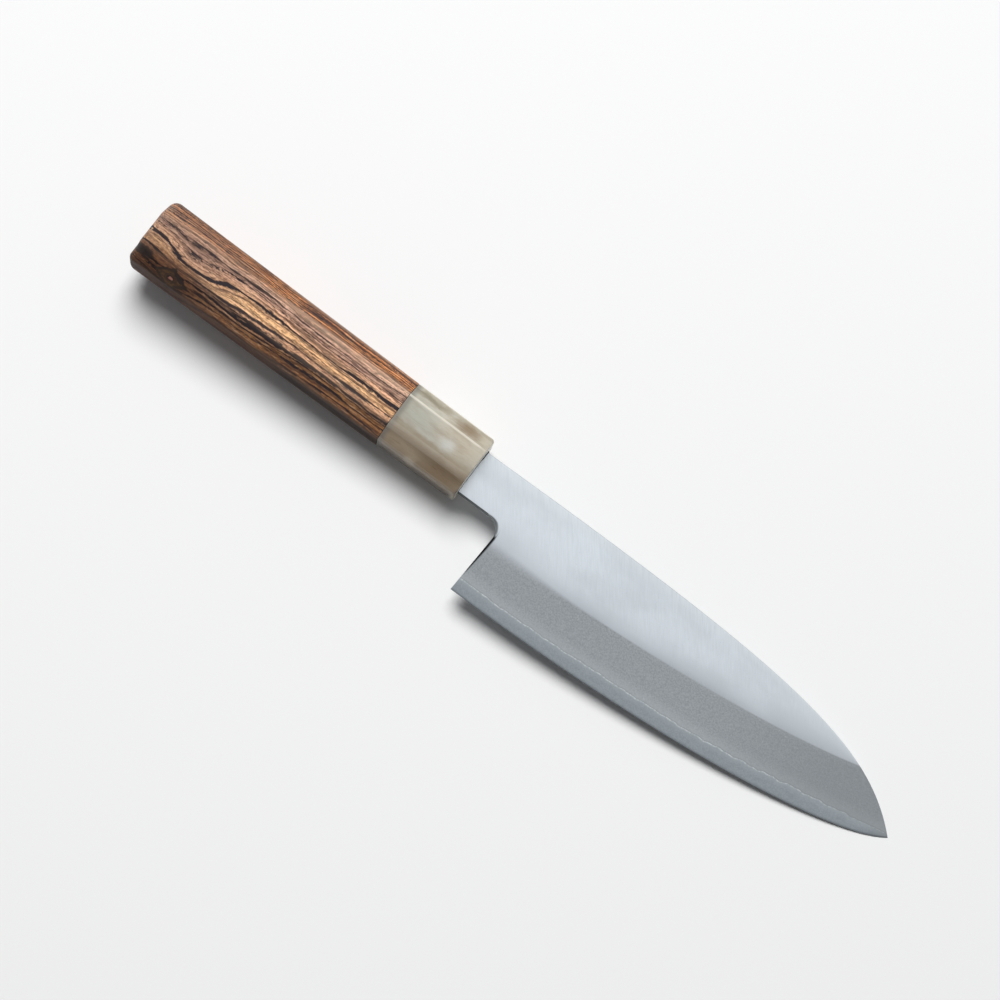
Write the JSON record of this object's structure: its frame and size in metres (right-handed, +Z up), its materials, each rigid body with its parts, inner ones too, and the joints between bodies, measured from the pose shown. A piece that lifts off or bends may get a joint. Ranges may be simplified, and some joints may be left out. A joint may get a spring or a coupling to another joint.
{
  "type": "santoku knife",
  "caption": "Kitchen knife with a layered steel blade, hazy ground bevel, horn ferrule and tapered octagonal wooden handle, lying on its side.",
  "frame": {"origin": "on the table, under the middle of the knife's bounding box, with the knife lying on its left side on the ferrule's front edge and the tip", "axes": "+X along the knife from butt to tip, +Y from the edge towards the spine, +Z up, out of the right side of the blade"},
  "size_m": [0.3174, 0.0494, 0.0285],
  "materials": {
    "core_steel": "stone-polished, bluish",
    "cladding_iron": "cross-ground satin flats, hazy matte bevel",
    "horn": "polished blonde horn with brown clouds",
    "striped_hardwood": "oiled, open pores, dark stripes along the handle",
    "dowel_wood": "bare"
  },
  "bodies": {
    "root": {"core_steel": "core_steel", "right_cladding": "cladding_iron", "left_cladding": "cladding_iron", "ferrule": "horn", "handle": "striped_hardwood", "dowel": "dowel_wood"}
  },
  "joints": []
}
